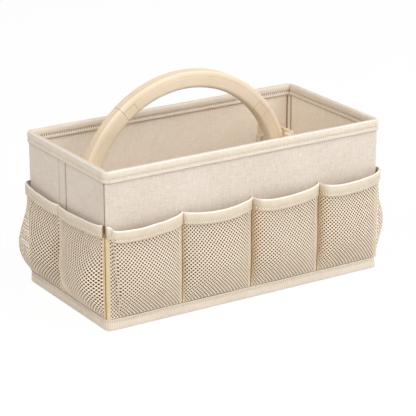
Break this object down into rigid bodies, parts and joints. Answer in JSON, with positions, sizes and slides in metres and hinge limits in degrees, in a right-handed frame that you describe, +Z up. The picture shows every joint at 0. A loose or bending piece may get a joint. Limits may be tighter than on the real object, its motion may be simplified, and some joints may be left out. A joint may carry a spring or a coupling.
{
  "type": "fabric storage caddy",
  "caption": "Open linen-covered storage caddy with net pockets on all sides and an arched plug-in handle standing on two riveted uprights.",
  "frame": {"origin": "middle of the underside, on the surface that the caddy stands on", "axes": "+X along the long sides to the right, +Y from the front long side to the back, +Z up"},
  "size_m": [0.3352, 0.1794, 0.2056],
  "materials": {
    "linen": "natural linen-look weave, matt",
    "sewn_tape": "linen-look binding with a stitch row, matt",
    "pocket_net": "knitted diamond net, matt",
    "pocket_tape": "folded woven tape with a stitch row",
    "cream_plastic": "satin moulded plastic with a faint wood-like grain",
    "stiff_board": "grey pressed board, hidden",
    "steel": "plain rivets and screws"
  },
  "bodies": {
    "caddy": {"front_panel": "linen", "back_panel": "linen", "left_panel_front_half": "linen", "left_panel_back_half": "linen", "left_fold_strip": "linen", "right_panel_front_half": "linen", "right_panel_back_half": "linen", "right_fold_strip": "linen", "corner_seam_front_left": "linen", "corner_seam_front_right": "linen", "corner_seam_back_left": "linen", "corner_seam_back_right": "linen", "rim_hem": "sewn_tape", "bottom_binding": "sewn_tape", "bottom_cloth": "linen", "floor_cloth": "linen", "floor_board": "stiff_board", "pocket_net_front_1": "pocket_net", "pocket_band_front_1": "pocket_tape", "pocket_net_front_2": "pocket_net", "pocket_band_front_2": "pocket_tape", "pocket_net_front_3": "pocket_net", "pocket_band_front_3": "pocket_tape", "pocket_net_front_4": "pocket_net", "pocket_band_front_4": "pocket_tape", "pocket_net_right_1": "pocket_net", "pocket_band_right_1": "pocket_tape", "pocket_net_right_2": "pocket_net", "pocket_band_right_2": "pocket_tape", "pocket_net_back_1": "pocket_net", "pocket_band_back_1": "pocket_tape", "pocket_net_back_2": "pocket_net", "pocket_band_back_2": "pocket_tape", "pocket_net_back_3": "pocket_net", "pocket_band_back_3": "pocket_tape", "pocket_net_back_4": "pocket_net", "pocket_band_back_4": "pocket_tape", "pocket_net_left_1": "pocket_net", "pocket_band_left_1": "pocket_tape", "pocket_net_left_2": "pocket_net", "pocket_band_left_2": "pocket_tape", "left_upright": "cream_plastic", "right_upright": "cream_plastic", "rivet_1": "steel", "rivet_2": "steel", "rivet_3": "steel", "rivet_4": "steel", "rivet_5": "steel", "rivet_6": "steel", "rivet_7": "steel", "rivet_8": "steel"},
    "handle": {"grip": "cream_plastic", "left_leg": "cream_plastic", "right_leg": "cream_plastic", "left_seam_cap": "cream_plastic", "right_seam_cap": "cream_plastic", "left_seam_screw": "steel", "right_seam_screw": "steel"}
  },
  "joints": [
    {"name": "handle_lift", "type": "slide", "parent": "caddy", "child": "handle", "axis": [0, 0, 1], "range_m": [0, 0.03]}
  ]
}
